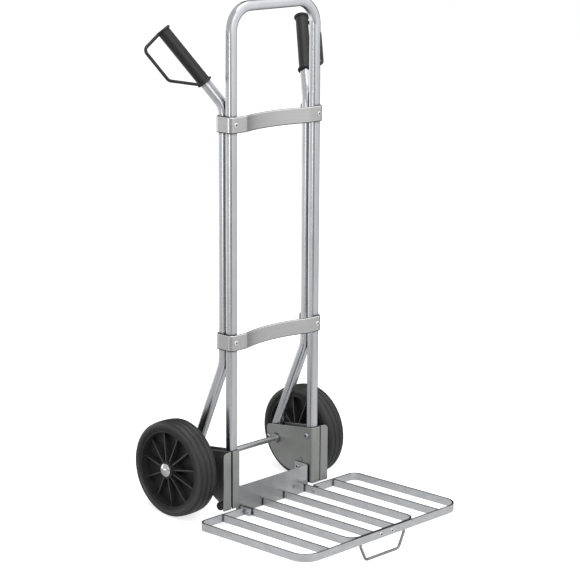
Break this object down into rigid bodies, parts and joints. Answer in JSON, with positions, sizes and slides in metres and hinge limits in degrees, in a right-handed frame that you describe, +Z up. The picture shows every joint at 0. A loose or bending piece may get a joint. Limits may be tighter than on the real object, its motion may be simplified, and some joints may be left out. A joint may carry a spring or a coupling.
{
  "type": "hand truck",
  "caption": "Upright aluminium hand truck with guarded side grips, bowed crossbars, solid wheels, a folding grate toe and a swinging wire prop stand.",
  "frame": {"origin": "on the floor under the middle of the parked truck's outline", "axes": "+Z up, +X to the truck's right as seen from the toe side looking along +Y, toe towards -Y"},
  "size_m": [0.6308, 0.6696, 1.3182],
  "materials": {
    "tube_aluminium": "satin drawn tube",
    "strap_aluminium": "satin rolled strip",
    "bracket_aluminium": "satin sheet",
    "base_aluminium": "rolled sheet",
    "toe_aluminium": "satin flat bar",
    "zinc_steel": "zinc plated",
    "wire_steel": "zinc plated wire",
    "cap_steel": "polished",
    "grip_plastic": "moulded, satin",
    "rim_plastic": "moulded",
    "tyre_rubber": "moulded rubber",
    "bumper_rubber": "moulded"
  },
  "bodies": {
    "frame": {"front_frame": "tube_aluminium", "upper_crossbar": "strap_aluminium", "lower_crossbar": "strap_aluminium", "axle": "zinc_steel", "base_plate": "base_aluminium", "rear_tube_left": "tube_aluminium", "rear_tube_right": "tube_aluminium", "grip_left": "grip_plastic", "grip_right": "grip_plastic", "inner_cheek_left": "bracket_aluminium", "inner_cheek_right": "bracket_aluminium", "outer_cheek_left": "bracket_aluminium", "outer_cheek_right": "bracket_aluminium", "bumper_left": "bumper_rubber", "bumper_right": "bumper_rubber", "axle_sleeve_left": "zinc_steel", "axle_sleeve_right": "zinc_steel", "hub_cap_left": "cap_steel", "hub_cap_right": "cap_steel", "hinge_lug_left": "zinc_steel", "hinge_lug_right": "zinc_steel"},
    "wheel_left": {"tyre_left": "tyre_rubber", "rim_left": "rim_plastic", "wheel_bearing_left": "zinc_steel"},
    "wheel_right": {"tyre_right": "tyre_rubber", "rim_right": "rim_plastic", "wheel_bearing_right": "zinc_steel"},
    "toe": {"toe_outer_frame": "toe_aluminium", "toe_inner_frame": "toe_aluminium", "toe_hinge_pins": "zinc_steel", "stand_clip": "zinc_steel", "toe_side_bar_left": "toe_aluminium", "toe_side_bar_right": "toe_aluminium", "toe_inner_bar_left": "toe_aluminium", "toe_inner_bar_right": "toe_aluminium"},
    "stand": {"stand_bail": "wire_steel"}
  },
  "joints": [
    {"name": "wheel_left_spin", "type": "hinge", "parent": "frame", "child": "wheel_left", "pos_m": [-0.239, 0.18395, 0.125], "axis": [1, 0, 0], "continuous": true},
    {"name": "wheel_right_spin", "type": "hinge", "parent": "frame", "child": "wheel_right", "pos_m": [0.239, 0.18395, 0.125], "axis": [1, 0, 0], "continuous": true},
    {"name": "toe_fold", "type": "hinge", "parent": "frame", "child": "toe", "pos_m": [0, 0.02446, 0.02941], "axis": [-1, 0, 0], "range_deg": [0, 90]},
    {"name": "stand_swing", "type": "hinge", "parent": "toe", "child": "stand", "pos_m": [0, -0.32067, 0.05724], "axis": [1, 0, 0], "range_deg": [0, 75]}
  ]
}
